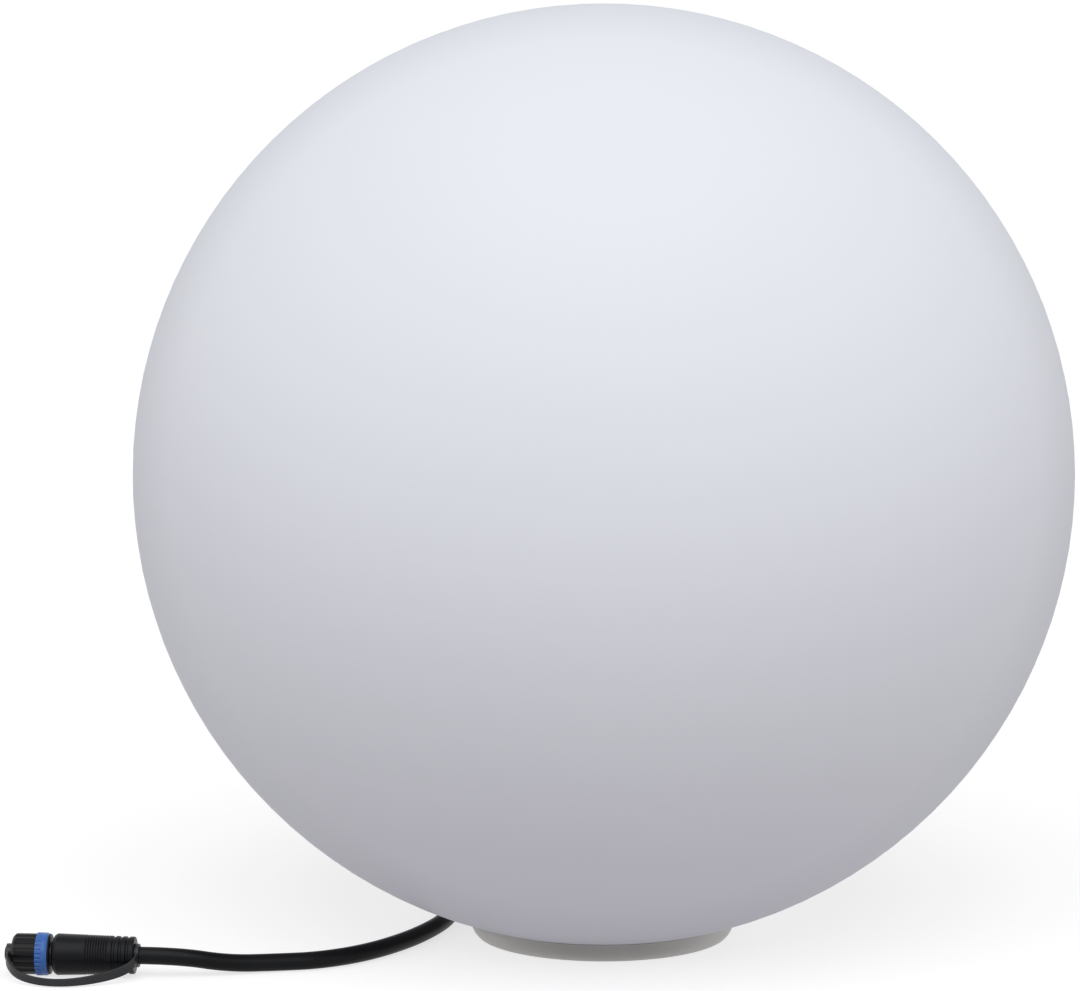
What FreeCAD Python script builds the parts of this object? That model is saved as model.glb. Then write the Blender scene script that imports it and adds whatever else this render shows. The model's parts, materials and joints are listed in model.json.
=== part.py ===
"""Garden globe light: an opal globe on a low foot ring, with a short lead and a screw connector.

Millimetres, +Z up. The origin is on the ground under the middle of the globe, and -Y is the front.
The globe drops over a sealed lamp housing and locks on three bayonet lugs. The lead leaves a gland
in a pocket under the housing, passes a notch in the foot ring, and lies on the ground.
"""
import FreeCAD, Part
import math
import os

from FreeCAD import Vector

os.makedirs("parts", exist_ok=True)

UP = Vector(0, 0, 1)
AHEAD = Vector(1, 0, 0)
ORIGIN = Vector(0, 0, 0)
OVERSHOOT = 1.0            # how far a cutter runs past the face that it cuts
TOUCH_GAP = 0.05           # clearance between faces that rest on each other across a joint
SNUG_GAP = 0.02            # clearance of a piece pressed into another
HEX_SIDES = 6

# Globe
GLOBE_RADIUS = 200.0
GLOBE_WALL = 3.0
GLOBE_EDGE_LAND = 2.79     # flat lower edge of the globe, outside the housing's flange
RIM_THICKNESS = 3.0        # flat rim round the mouth
MOUTH_GAP = 0.8            # mouth to lamp housing
SKIRT_GAP = 0.7            # flange of the housing to the globe's edge

# Bayonet
LUG_COUNT = 3
LUG_FIRST_DEG = 30.0
LUG_SPAN_DEG = 28.0
LUG_REACH = 4.6
LUG_THICKNESS = 3.0
LUG_GAP = 0.3
NOTCH_EXTRA_DEG = 3.0
NOTCH_GAP = 0.6
RELEASE_TURN_DEG = 35.0
STOP_SPAN_DEG = 3.0
STOP_GAP_DEG = 1.0
STOP_HEIGHT = 2.5

# Foot ring
RING_LIP = 2.4             # rim of the ring outside the housing's flange
RING_UNDERCUT = 3.0        # foot inside the top edge
RING_SIDE_RISE = 2.5       # where the tangents of the faintly rounded side meet, above the foot
RING_SHELF = 1.4           # reach of the ring under the housing
RING_TOP_GAP = 0.3
RING_SIDE_GAP = 0.4
CABLE_NOTCH_WIDTH = 10.0
PAD_COUNT = 6
PAD_RADIUS = 2.0
PAD_DEPTH = 1.4
PAD_PROUD = 0.5
RING_SCREW_COUNT = 6
RING_SCREW_RADIUS = 1.1
RING_SCREW_HEAD_RADIUS = 2.0
RING_SCREW_LENGTH = 6.4
SCREW_GAP = 0.1

# Lamp housing
CABLE_HEADROOM = 0.45      # flange above the lead, where it passes the notch
SCREW_LAND = 4.7           # flange between the housing's wall and the seal, where the ring screws sit
FLANGE_THICKNESS = 1.6
POD_RADIUS = 46.4
POD_WALL = 2.5
POD_RIM_Z = 56.0
FIXING_COUNT = 4
FIXING_CIRCLE = 35.0
FIXING_HOLE_RADIUS = 2.5
INSERT_RADIUS = 3.5
INSERT_LENGTH = 8.0
FIXING_BOSS_RADIUS = 5.2
POST_INSET = 3.5
POST_RADIUS = 3.0
POST_COUNT = 4
POD_SCREW_COUNT = 6
POD_SCREW_INSET = 1.6
POD_SCREW_RADIUS = 1.1
POD_BOSS_RADIUS = 3.3
POD_BOSS_LENGTH = 18.0
VENT_CIRCLE = 21.0
VENT_DEG = 205.0
VENT_RADIUS = 3.0
VENT_HEAD_RADIUS = 5.0
VENT_HEAD_THICKNESS = 1.5

# Seal between globe and housing
SEAL_THICKNESS = 1.5
SEAL_WIDTH = 3.1

# Cable pocket and gland. They are drawn towards +Y and then turned to the exit's direction.
EXIT_TURN_DEG = -22.5
POCKET_HALF_WIDTH = 11.0
POCKET_WALL = 2.5
POCKET_END_INSET = 2.9
POCKET_END_TOP_Z = 14.0
POCKET_ROOF_Z = 29.0
POCKET_ROOF_REACH = 16.0
GLAND_TILT_DEG = 20.0
GLAND_BACK_ROOM = 21.9     # from the housing's wall to the pocket's end wall, for the lead's end
GLAND_Z = 20.0
GLAND_THREAD_RADIUS = 6.3
GLAND_HEX_ACROSS = 16.0
GLAND_HEX_THICKNESS = 3.2
GLAND_NUT_RADIUS = 8.2
GLAND_NUT_LENGTH = 8.8
GLAND_SLEEVE_RADIUS = 6.9
GLAND_SLEEVE_LENGTH = 5.6
GLAND_SEAL_RADIUS = 5.6
LOCKNUT_ACROSS = 16.0
LOCKNUT_THICKNESS = 3.2
THREAD_LENGTH = 7.6
NUT_FLUTES = 12
NUT_FLUTE_RADIUS = 1.0

# Lead
CABLE_DIAMETER = 7.4
CABLE_LIFT = 0.05
RUN_SHARE = 0.45
CABLE_TAIL_LENGTH = 9.5
ROUTE_PAST_RING = 2.85     # first bend on the ground, outside the ring
TAIL_STRAIGHT = 16.5       # last straight stretch before the connector
LIFT_BACK = 36.0           # where the lead begins to rise, behind the connector's tail
LIFT_ASIDE = 6.2
LIFT_HEIGHT = 4.6
CORE_RADIUS = 0.9
CORE_SPREAD = 1.7
CORE_OUT = 6.5
CORE_TOP_Z = 41.0

# Driver
BOARD_THICKNESS = 1.6
BOARD_CLEARANCE = 7.4
BOARD_SCREW_RADIUS = 1.2
BOARD_HEAD_RADIUS = 2.4
BOARD_HEAD_THICKNESS = 1.6
BOARD_SCREW_LENGTH = 6.0
POST_HEIGHT_ABOVE_ROOF = 2.2
INDUCTOR_RADIUS = 7.0
INDUCTOR_BORE = 2.6
INDUCTOR_HEIGHT = 6.5
CAPACITOR_RADIUS = 4.0
CAPACITOR_HEIGHT = 8.0
CAPACITOR_INSET = 19.0      # from the board's edge
CAPACITOR_SIDE_DEG = 30.0
INDUCTOR_INSET = 16.4       # from the board's edge
TERMINAL_WIDTH = 10.0
TERMINAL_DEPTH = 7.0
TERMINAL_HEIGHT = 7.5
TERMINAL_ENTRY_SPREAD = 3.4

# Heat sink, light board and inner dome
GASKET_THICKNESS = 1.0
CLAMP_WIDTH = 7.6
SINK_THICKNESS = 3.0
SINK_INSET = 0.4
FIN_COUNT = 7
FIN_PITCH = 9.0
FIN_THICKNESS = 1.6
FIN_HEIGHT = 6.0
FIN_CLEARANCE = 1.9
WIRE_HOLE_RADIUS = 4.2
LED_BOARD_CLEARANCE = 4.4
LED_SIZE = 3.2
LED_THICKNESS = 0.9
LED_RING_INSET = 8.0
LED_INNER_COUNT = 4
LED_OUTER_COUNT = 8
LED_FIRST_DEG = 45.0
LED_SCREW_FIRST_DEG = 90.0
LED_SCREW_COUNT = 3
DOME_FLANGE_THICKNESS = 2.5
DOME_CLEARANCE = 0.4
DOME_HEIGHT = 22.0
DOME_WALL = 2.0
DOME_RING_THICKNESS = 2.0
DOME_RING_GAP = 0.4
LAMP_WIRE_RADIUS = 0.8
LAMP_WIRE_SPREAD = 1.6
LAMP_WIRE_REACH = 6.0
LAMP_WIRE_HUMP = 3.4

# Connector, drawn along its own axis from the tip of the cap to the lead
TAIL_END_X = -191.7
TAIL_END_Y = -81.0
CONNECTOR_YAW_DEG = -3.0
BUTTON_HEAD_LENGTH = 0.6
BUTTON_HEAD_RADIUS = 2.6
BUTTON_PIN_RADIUS = 1.62
EYE_THICKNESS = 2.2
EYE_RADIUS = 4.2
EYE_TO_CAP = 0.7
CAP_LENGTH = 9.9
CAP_RADIUS = 8.5
CAP_BEVEL = 1.2
CAP_FLUTES = 10
FLUTE_RADIUS = 3.4
FLUTE_DEPTH = 0.45
SPIGOT_LENGTH = 3.1
SPIGOT_WALL = 1.1
THREAD_GAP = 0.1
CAP_SEAL_THICKNESS = 1.0
CAP_SEAL_BORE = 2.2
RING_LENGTH = 4.95
RING_RADIUS = 8.9
RING_WALL = 1.5
RING_BEVEL = 0.9
KNURL_COUNT = 30
KNURL_LENGTH = 2.6
KNURL_DEPTH = 0.35
KNURL_RADIUS = 0.55
COLLAR_LENGTH = 0.8
COLLAR_RADIUS = 8.4
COLLAR_ROUND = 0.5
COLLAR_INSERT = 1.5
NECK_GAP = 0.45
NOSE_RADIUS = 6.0
NOSE_GAP = 0.2
STEM_RADIUS = 4.92
STEM_RUNNING_GAP = 0.06
NOSE_RECESS_RADIUS = 4.2
NOSE_RECESS_DEPTH = 5.0
STEM_IN_BODY = 10.0
PIN_RADIUS = 0.9
PIN_SPREAD = 2.0
PIN_SET_BACK = 0.9
NOSE_SEAL_SECTION = 0.7
NOSE_SEAL_SET_BACK = 3.2
BODY_LENGTH = 34.7
BODY_FRONT_RADIUS = 8.7
BODY_REAR_RADIUS = 7.75
BODY_NOSE_RADIUS = 7.0
BODY_FRONT_SLOPE = 0.7
BODY_FRONT_ROUND = 1.6
FINE_GROOVES = 9
FINE_PITCH = 1.08
FINE_DEPTH = 0.24
FINE_START = 14.9
BROAD_GROOVES = 3
BROAD_PITCH = 2.85
BROAD_WIDTH = 1.5
BROAD_DEPTH = 0.45
BROAD_START = 26.2
BODY_REAR_ROUND = 0.5
TAIL_LENGTH = 1.9
TAIL_RADIUS = 3.9
STRAP_RING_RADIUS = 4.9
STRAP_RING_THICKNESS = 1.6
STRAP_RING_GAP = 0.1
STRAP_WIDTH = 4.2
STRAP_THICKNESS = 1.2
STRAP_TAB_REACH = 0.5

# Heights and radii that follow from these
cable_radius = CABLE_DIAMETER / 2
cable_z = cable_radius + CABLE_LIFT
flange_low = CABLE_DIAMETER + CABLE_HEADROOM
flange_top = flange_low + FLANGE_THICKNESS
rim_low = flange_top + SEAL_THICKNESS
rim_top = rim_low + RIM_THICKNESS
pod_floor_top = flange_low + POD_WALL
pod_bore = POD_RADIUS - POD_WALL
mouth_radius = POD_RADIUS + MOUTH_GAP
flange_radius = POD_RADIUS + SCREW_LAND + SEAL_WIDTH
skirt_radius = flange_radius + SKIRT_GAP
globe_edge_radius = skirt_radius + GLOBE_EDGE_LAND
globe_edge_z = GLOBE_RADIUS - math.sqrt(GLOBE_RADIUS ** 2 - globe_edge_radius ** 2)
ring_top = globe_edge_z - RING_TOP_GAP
ring_top_radius = flange_radius + RING_SIDE_GAP + RING_LIP
ring_foot_radius = ring_top_radius - RING_UNDERCUT
ring_bore_radius = POD_RADIUS - RING_SHELF
ring_screw_circle = POD_RADIUS + SCREW_LAND / 2
lug_radius = POD_RADIUS + LUG_REACH
pocket_end_y = pod_bore - POCKET_END_INSET
gland_y = GLAND_BACK_ROOM - pod_bore
pocket_roof_y = gland_y + POCKET_ROOF_REACH
board_radius = pod_bore - BOARD_CLEARANCE
post_circle = board_radius - POST_INSET
pod_screw_circle = pod_bore - POD_SCREW_INSET
sink_radius = POD_RADIUS - SINK_INSET
clamp_bore = sink_radius - CLAMP_WIDTH
fin_reach = clamp_bore - FIN_CLEARANCE
led_board_radius = clamp_bore - LED_BOARD_CLEARANCE
led_outer_circle = led_board_radius - LED_RING_INSET
led_inner_circle = led_outer_circle / 2
led_screw_circle = (led_inner_circle + led_outer_circle) / 2
dome_radius = clamp_bore - DOME_CLEARANCE
notch_radius = lug_radius + NOTCH_GAP
board_low = POCKET_ROOF_Z + POCKET_WALL + POST_HEIGHT_ABOVE_ROOF
board_top = board_low + BOARD_THICKNESS
sink_low = POD_RIM_Z + GASKET_THICKNESS
sink_top = sink_low + SINK_THICKNESS
dome_low = sink_top + GASKET_THICKNESS
dome_flange_top = dome_low + DOME_FLANGE_THICKNESS
dome_ring_top = dome_flange_top + DOME_RING_THICKNESS
led_board_top = sink_top + BOARD_THICKNESS

# Stations along the connector
eye_start = BUTTON_HEAD_LENGTH + TOUCH_GAP
cap_start = BUTTON_HEAD_LENGTH + EYE_THICKNESS + EYE_TO_CAP
cap_end = cap_start + CAP_LENGTH
ring_start = cap_end + THREAD_GAP
ring_end = ring_start + RING_LENGTH
collar_end = ring_end + COLLAR_LENGTH
body_start = collar_end + NECK_GAP
body_end = body_start + BODY_LENGTH
tail_end = body_end + TAIL_LENGTH
collar_start = ring_end - COLLAR_INSERT
nose_back = collar_start - NOSE_GAP
ring_bore = RING_RADIUS - RING_WALL
spigot_radius = ring_bore - THREAD_GAP
spigot_bore = spigot_radius - SPIGOT_WALL
spigot_end = cap_end + SPIGOT_LENGTH
nose_front = nose_back - NOSE_RECESS_DEPTH - PIN_SET_BACK
cap_seal_start = nose_front - TOUCH_GAP - CAP_SEAL_THICKNESS
axis_z = RING_RADIUS + CABLE_LIFT


def polar(radius, angle_deg, height=0.0):
    angle = math.radians(angle_deg)
    return Vector(radius * math.cos(angle), radius * math.sin(angle), height)


def around(count, first_deg=0.0):
    """Angles of a pattern of evenly spaced copies."""
    return [first_deg + 360.0 * step / count for step in range(count)]


def spin_face(edges):
    """Solid of revolution about Z, from edges that bound a face in the XZ plane."""
    face = Part.Face(Part.Wire(Part.__sortEdges__(edges)))
    return face.revolve(ORIGIN, UP, 360)


def chain(points):
    """Straight edges through a list of (radius, height) pairs."""
    corners = [Vector(radius, 0, height) for radius, height in points]
    return [Part.makeLine(a, b) for a, b in zip(corners, corners[1:])]


def tube(outer, inner, low, high):
    corners = [(inner, low), (outer, low), (outer, high), (inner, high), (inner, low)]
    return spin_face(chain(corners))


def disc(radius, low, high, centre=ORIGIN):
    return Part.makeCylinder(radius, high - low, centre + UP * low)


def lathe(points):
    """Solid turned about the connector's axis, from (station, radius) pairs."""
    corners = [Vector(station, 0, radius) for station, radius in points]
    face = Part.Face(Part.makePolygon(corners + corners[:1]))
    return face.revolve(ORIGIN, AHEAD, 360)


def pie(radius, low, high, middle_deg, span_deg):
    """Wedge of a disc, as wide as span_deg."""
    wedge = Part.makeCylinder(radius, high - low, UP * low, UP, span_deg)
    wedge.rotate(ORIGIN, UP, middle_deg - span_deg / 2)
    return wedge


def fused(shapes):
    whole = shapes[0]
    for shape in shapes[1:]:
        whole = whole.fuse(shape)
    return whole.removeSplitter()


def hexagon(across_flats, thickness):
    """Hexagonal plate on the XY plane."""
    corner_radius = across_flats / math.sqrt(3)
    corners = [polar(corner_radius, angle) for angle in around(HEX_SIDES)]
    return Part.Face(Part.makePolygon(corners + corners[:1])).extrude(UP * thickness)


def turned_to_exit(shape):
    shape.rotate(ORIGIN, UP, EXIT_TURN_DEG)
    return shape


def save(name, shape):
    solids = shape.Solids
    whole = solids[0] if len(solids) == 1 else Part.makeCompound(solids)
    if not whole.isValid():
        print("not valid:", name)
    print(name, len(solids), round(whole.Volume, 1))
    whole.exportStep(os.path.join("parts", name + ".step"))


def bent_tube(name, points, radius):
    """Tube of straight runs joined by tangent arcs, each as large as its two runs allow."""
    edges = []
    radii = []
    start = points[0]
    for before, corner, after in zip(points, points[1:], points[2:]):
        into = corner - before
        out = after - corner
        trim = RUN_SHARE * min(into.Length, out.Length)
        half_turn = into.getAngle(out) / 2
        bend = trim / math.tan(half_turn)
        into.normalize()
        out.normalize()
        inward = out - into
        inward.normalize()
        arc_start = corner - into * trim
        arc_end = corner + out * trim
        arc_middle = corner + inward * (bend / math.cos(half_turn) - bend)
        edges.append(Part.LineSegment(start, arc_start).toShape())
        edges.append(Part.Arc(arc_start, arc_middle, arc_end).toShape())
        radii.append(bend)
        start = arc_end
    edges.append(Part.LineSegment(start, points[-1]).toShape())
    path = Part.Wire(edges)
    section = Part.Wire(Part.makeCircle(radius, points[0], points[1] - points[0]))
    solid = path.makePipeShell([section], True, False)
    expected = math.pi * radius ** 2 * path.Length
    print(name, "length", round(path.Length, 1), "volume/expected", round(solid.Volume / expected, 4))
    print(name, "bend radii", [round(value, 1) for value in radii])
    return solid


# ---------------------------------------------------------------- globe

def sphere_radius_at(radius, height):
    return math.sqrt(radius ** 2 - (GLOBE_RADIUS - height) ** 2)


def sphere_arc(radius, height):
    """Arc in the XZ plane from the given height up to the top of a sphere about the globe's centre."""
    start = Vector(sphere_radius_at(radius, height), 0, height)
    middle = Vector(radius, 0, GLOBE_RADIUS)
    top = Vector(0, 0, GLOBE_RADIUS + radius)
    return Part.Arc(start, middle, top).toShape()


def globe_shell():
    inner_radius = GLOBE_RADIUS - GLOBE_WALL
    rim_edge = sphere_radius_at(inner_radius, rim_top)
    mouth = [(globe_edge_radius, globe_edge_z), (skirt_radius, globe_edge_z), (skirt_radius, rim_low),
             (mouth_radius, rim_low), (mouth_radius, rim_top), (rim_edge, rim_top)]
    wall_top = chain([(0, GLOBE_RADIUS + inner_radius), (0, 2 * GLOBE_RADIUS)])
    arcs = [sphere_arc(GLOBE_RADIUS, globe_edge_z), sphere_arc(inner_radius, rim_top)]
    shell = spin_face(chain(mouth) + arcs + wall_top)
    notch_span = LUG_SPAN_DEG + 2 * NOTCH_EXTRA_DEG
    stop_offset = LUG_SPAN_DEG / 2 + STOP_GAP_DEG + STOP_SPAN_DEG / 2
    for angle in around(LUG_COUNT, LUG_FIRST_DEG):
        notch = pie(notch_radius, rim_low - OVERSHOOT, rim_top + OVERSHOOT,
                    angle - RELEASE_TURN_DEG, notch_span)
        shell = shell.cut(notch)
        stop = pie(notch_radius, rim_top, rim_top + STOP_HEIGHT, angle + stop_offset, STOP_SPAN_DEG)
        shell = shell.fuse(stop.cut(disc(mouth_radius, 0, POD_RIM_Z)))
    return shell.removeSplitter()


def globe_seal():
    outer = flange_radius - SNUG_GAP
    return tube(outer, outer - SEAL_WIDTH, flange_top, rim_low - TOUCH_GAP)


# ---------------------------------------------------------------- foot ring

def ring_blank():
    foot = Vector(ring_foot_radius, 0, PAD_PROUD)
    bulge = Vector(ring_top_radius, 0, PAD_PROUD + RING_SIDE_RISE)
    top = Vector(ring_top_radius, 0, ring_top)
    side = Part.BezierCurve()
    side.setPoles([foot, bulge, top])
    lip_radius = flange_radius + RING_SIDE_GAP
    rest = [(ring_top_radius, ring_top), (lip_radius, ring_top), (lip_radius, flange_low),
            (ring_bore_radius, flange_low), (ring_bore_radius, PAD_PROUD), (ring_foot_radius, PAD_PROUD)]
    return spin_face([side.toShape()] + chain(rest))


def pad_places():
    middle = (ring_bore_radius + ring_foot_radius) / 2
    return [polar(middle, angle) for angle in around(PAD_COUNT, 180.0 / RING_SCREW_COUNT)]


def screw_places():
    return [polar(ring_screw_circle, angle) for angle in around(RING_SCREW_COUNT)]


def base_ring():
    ring = ring_blank()
    notch = Part.makeBox(CABLE_NOTCH_WIDTH, ring_top_radius, globe_edge_z + OVERSHOOT)
    notch.translate(Vector(-CABLE_NOTCH_WIDTH / 2, ring_bore_radius - ring_foot_radius / 2, -OVERSHOOT))
    ring = ring.cut(turned_to_exit(notch))
    for place in pad_places():
        ring = ring.cut(disc(PAD_RADIUS + SNUG_GAP, 0, PAD_PROUD + PAD_DEPTH + SNUG_GAP, place))
    for place in screw_places():
        low = flange_top - RING_SCREW_LENGTH - SNUG_GAP
        ring = ring.cut(disc(RING_SCREW_RADIUS + SNUG_GAP, low, flange_top, place))
    return ring


def foot_pads():
    return Part.makeCompound([disc(PAD_RADIUS, 0, PAD_PROUD + PAD_DEPTH, place) for place in pad_places()])


def countersink(extra):
    """Head of a countersunk ring screw, grown by extra."""
    head_depth = RING_SCREW_HEAD_RADIUS - RING_SCREW_RADIUS
    low = flange_top - head_depth
    return Part.makeCone(RING_SCREW_RADIUS + extra, RING_SCREW_HEAD_RADIUS + extra, head_depth, UP * low)


def ring_screws():
    shank = disc(RING_SCREW_RADIUS, flange_top - RING_SCREW_LENGTH, flange_top)
    screw = shank.fuse(countersink(0)).removeSplitter()
    return Part.makeCompound([screw.translated(place) for place in screw_places()])


# ---------------------------------------------------------------- lamp housing

def pocket_face():
    """Section of the cable pocket, in the YZ plane. Its end wall stands square to the gland."""
    lean = math.tan(math.radians(GLAND_TILT_DEG))
    floor_z = flange_low - OVERSHOOT
    corners = [(pocket_end_y, floor_z), (pocket_end_y, POCKET_END_TOP_Z),
               (pocket_roof_y, POCKET_ROOF_Z),
               (gland_y + (POCKET_ROOF_Z - GLAND_Z) * lean, POCKET_ROOF_Z),
               (gland_y + (floor_z - GLAND_Z) * lean, floor_z)]
    points = [Vector(0, y, z) for y, z in corners]
    return Part.Face(Part.makePolygon(points + points[:1]))


def pocket_solid(grown):
    face = pocket_face()
    if grown:
        face = face.makeOffset2D(grown, join=2)
    half_width = POCKET_HALF_WIDTH + grown
    solid = face.extrude(AHEAD * (2 * half_width))
    solid.translate(AHEAD * -half_width)
    return turned_to_exit(solid)


def post_places():
    return [polar(post_circle, angle) for angle in around(POST_COUNT)]


def fixing_places():
    return [polar(FIXING_CIRCLE, angle) for angle in around(FIXING_COUNT, 180.0 / FIXING_COUNT)]


def pod_screw_places():
    return [polar(pod_screw_circle, angle) for angle in around(POD_SCREW_COUNT)]


def pod_cup():
    outline = [(0, flange_low), (flange_radius, flange_low), (flange_radius, flange_top),
               (POD_RADIUS, flange_top), (POD_RADIUS, POD_RIM_Z), (pod_bore, POD_RIM_Z),
               (pod_bore, pod_floor_top), (0, pod_floor_top), (0, flange_low)]
    return spin_face(chain(outline))


def bayonet_lugs():
    lug_low = rim_top + LUG_GAP
    blank = tube(lug_radius, POD_RADIUS - POD_WALL / 2, lug_low, lug_low + LUG_THICKNESS)
    wedges = [pie(lug_radius + OVERSHOOT, lug_low, lug_low + LUG_THICKNESS, angle, LUG_SPAN_DEG)
              for angle in around(LUG_COUNT, LUG_FIRST_DEG)]
    return [blank.common(wedge) for wedge in wedges]


def gland_placed(shape):
    """Turn a piece drawn up +Z from the pocket's end wall onto the gland's axis."""
    shape.rotate(ORIGIN, AHEAD, -90 - GLAND_TILT_DEG)
    shape.translate(Vector(0, gland_y, GLAND_Z))
    return turned_to_exit(shape)


def base_body():
    inside = disc(pod_bore, flange_low, POD_RIM_Z)
    bosses = [disc(FIXING_BOSS_RADIUS, flange_low, pod_floor_top + INSERT_LENGTH, place)
              for place in fixing_places()]
    posts = [disc(POST_RADIUS, flange_low, board_low, place) for place in post_places()]
    pod_bosses = [disc(POD_BOSS_RADIUS, POD_RIM_Z - POD_BOSS_LENGTH, POD_RIM_Z, place)
                  for place in pod_screw_places()]
    pocket_walls = pocket_solid(POCKET_WALL).common(inside)
    body = fused([pod_cup(), pocket_walls] + bosses + posts + pod_bosses + bayonet_lugs())
    body = body.cut(pocket_solid(0))
    gland_bore = disc(GLAND_THREAD_RADIUS + SNUG_GAP, -POCKET_WALL - THREAD_LENGTH, OVERSHOOT)
    body = body.cut(gland_placed(gland_bore))
    for place in fixing_places():
        body = body.cut(disc(INSERT_RADIUS + SNUG_GAP, 0, flange_low + INSERT_LENGTH, place))
    for place in post_places():
        screw_low = board_top - BOARD_SCREW_LENGTH
        body = body.cut(disc(BOARD_SCREW_RADIUS + SNUG_GAP, screw_low, board_low + OVERSHOOT, place))
    for place in pod_screw_places():
        body = body.cut(disc(POD_SCREW_RADIUS + SNUG_GAP, pod_screw_low() - SNUG_GAP, POD_RIM_Z + OVERSHOOT,
                             place))
    for place in screw_places():
        body = body.cut(disc(RING_SCREW_RADIUS + SNUG_GAP, 0, flange_top + OVERSHOOT, place))
        body = body.cut(countersink(SNUG_GAP).translated(place))
    vent = polar(VENT_CIRCLE, VENT_DEG)
    return body.cut(disc(VENT_RADIUS + SNUG_GAP, 0, pod_floor_top + OVERSHOOT, vent))


def fixing_inserts():
    blank = tube(INSERT_RADIUS, FIXING_HOLE_RADIUS, flange_low, flange_low + INSERT_LENGTH)
    return Part.makeCompound([blank.translated(place) for place in fixing_places()])


def pressure_vent():
    plug = disc(VENT_RADIUS, flange_low - VENT_HEAD_THICKNESS, pod_floor_top)
    head = disc(VENT_HEAD_RADIUS, flange_low - VENT_HEAD_THICKNESS, flange_low - TOUCH_GAP)
    slot = Part.makeBox(2 * VENT_HEAD_RADIUS, OVERSHOOT, VENT_HEAD_THICKNESS / 2)
    slot.translate(Vector(-VENT_HEAD_RADIUS, -OVERSHOOT / 2, flange_low - VENT_HEAD_THICKNESS))
    vent = plug.fuse(head).removeSplitter().cut(slot)
    return vent.translated(polar(VENT_CIRCLE, VENT_DEG))


# ---------------------------------------------------------------- gland and lead

nut_start = GLAND_HEX_THICKNESS + TOUCH_GAP
nut_end = nut_start + GLAND_NUT_LENGTH


def gland_body():
    bore = cable_radius + THREAD_GAP
    thread_start = -POCKET_WALL - THREAD_LENGTH
    body = fused([disc(GLAND_THREAD_RADIUS, thread_start, 0), hexagon(GLAND_HEX_ACROSS, GLAND_HEX_THICKNESS),
                  disc(GLAND_SLEEVE_RADIUS, 0, nut_start + GLAND_SLEEVE_LENGTH)])
    body = body.cut(disc(bore, thread_start - OVERSHOOT, nut_end))
    pocket = disc(GLAND_SEAL_RADIUS + SNUG_GAP, nut_start, nut_end)
    return gland_placed(body.cut(pocket))


def gland_seal():
    return gland_placed(tube(GLAND_SEAL_RADIUS, cable_radius + SNUG_GAP, nut_start + SNUG_GAP,
                             nut_start + GLAND_SLEEVE_LENGTH))


def gland_nut():
    nut = disc(GLAND_NUT_RADIUS, nut_start, nut_end)
    nut = nut.makeFillet(NUT_FLUTE_RADIUS, [edge for edge in nut.Edges
                                            if edge.BoundBox.ZMin > nut_end - OVERSHOOT / 2])
    nut = nut.cut(disc(GLAND_SLEEVE_RADIUS + SNUG_GAP, 0, nut_start + GLAND_SLEEVE_LENGTH + SNUG_GAP))
    nut = nut.cut(disc(cable_radius + THREAD_GAP, 0, nut_end + OVERSHOOT))
    flute_circle = GLAND_NUT_RADIUS + NUT_FLUTE_RADIUS / 2
    for angle in around(NUT_FLUTES):
        flute = polar(flute_circle, angle)
        nut = nut.cut(disc(NUT_FLUTE_RADIUS, nut_start - OVERSHOOT, nut_end + OVERSHOOT, flute))
    return gland_placed(nut)


def gland_locknut():
    nut = hexagon(LOCKNUT_ACROSS, LOCKNUT_THICKNESS)
    nut = nut.cut(disc(GLAND_THREAD_RADIUS + SNUG_GAP, -OVERSHOOT, LOCKNUT_THICKNESS + OVERSHOOT))
    nut.translate(UP * -(POCKET_WALL + TOUCH_GAP + LOCKNUT_THICKNESS))
    return gland_placed(nut)


def gland_point(along):
    """Point on the gland's axis, in the pocket's own direction before it is turned."""
    tilt = math.radians(GLAND_TILT_DEG)
    return Vector(0, gland_y + along * math.cos(tilt), GLAND_Z - along * math.sin(tilt))


def to_exit(point):
    turn = FreeCAD.Rotation(UP, EXIT_TURN_DEG)
    return turn.multVec(point)


tail_start = -POCKET_WALL - CABLE_TAIL_LENGTH


def cable_tail():
    return gland_placed(disc(cable_radius, tail_start, nut_end))


def touch_down():
    """Where the line of the gland's axis meets the height of a lead lying on the ground."""
    leave = gland_point(nut_end)
    run = (leave.z - cable_z) / math.tan(math.radians(GLAND_TILT_DEG))
    return to_exit(Vector(0, leave.y + run, cable_z))


def connector_point(station, sideways=0.0, height=0.0):
    """Point of the connector's own frame, on the ground."""
    yaw = FreeCAD.Rotation(UP, CONNECTOR_YAW_DEG)
    offset = yaw.multVec(Vector(station - tail_end, sideways, height))
    return Vector(TAIL_END_X, TAIL_END_Y, axis_z) + offset


def cable_route():
    """Corners of the lead's route, from the gland round behind the foot to the connector."""
    past_ring = to_exit(Vector(0, ring_top_radius + ROUTE_PAST_RING, cable_z))
    on_ground = [(17.6, 81.9), (-2.1, 100.3), (-28.9, 103.6), (-52.5, 90.5), (-63.9, 66.0),
                 (-63.9, 41.1), (-66.6, 15.5), (-71.8, -5.5), (-83.0, -30.5), (-99.5, -53.5),
                 (-118.0, -66.8), (-135.0, -70.5)]
    rising = [connector_point(tail_end + LIFT_BACK, LIFT_ASIDE, LIFT_HEIGHT - axis_z),
              connector_point(tail_end + TAIL_STRAIGHT)]
    points = [to_exit(gland_point(nut_end)), touch_down(), past_ring]
    points += [Vector(x, y, cable_z) for x, y in on_ground]
    return points + rising + [connector_point(tail_end)]


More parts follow.
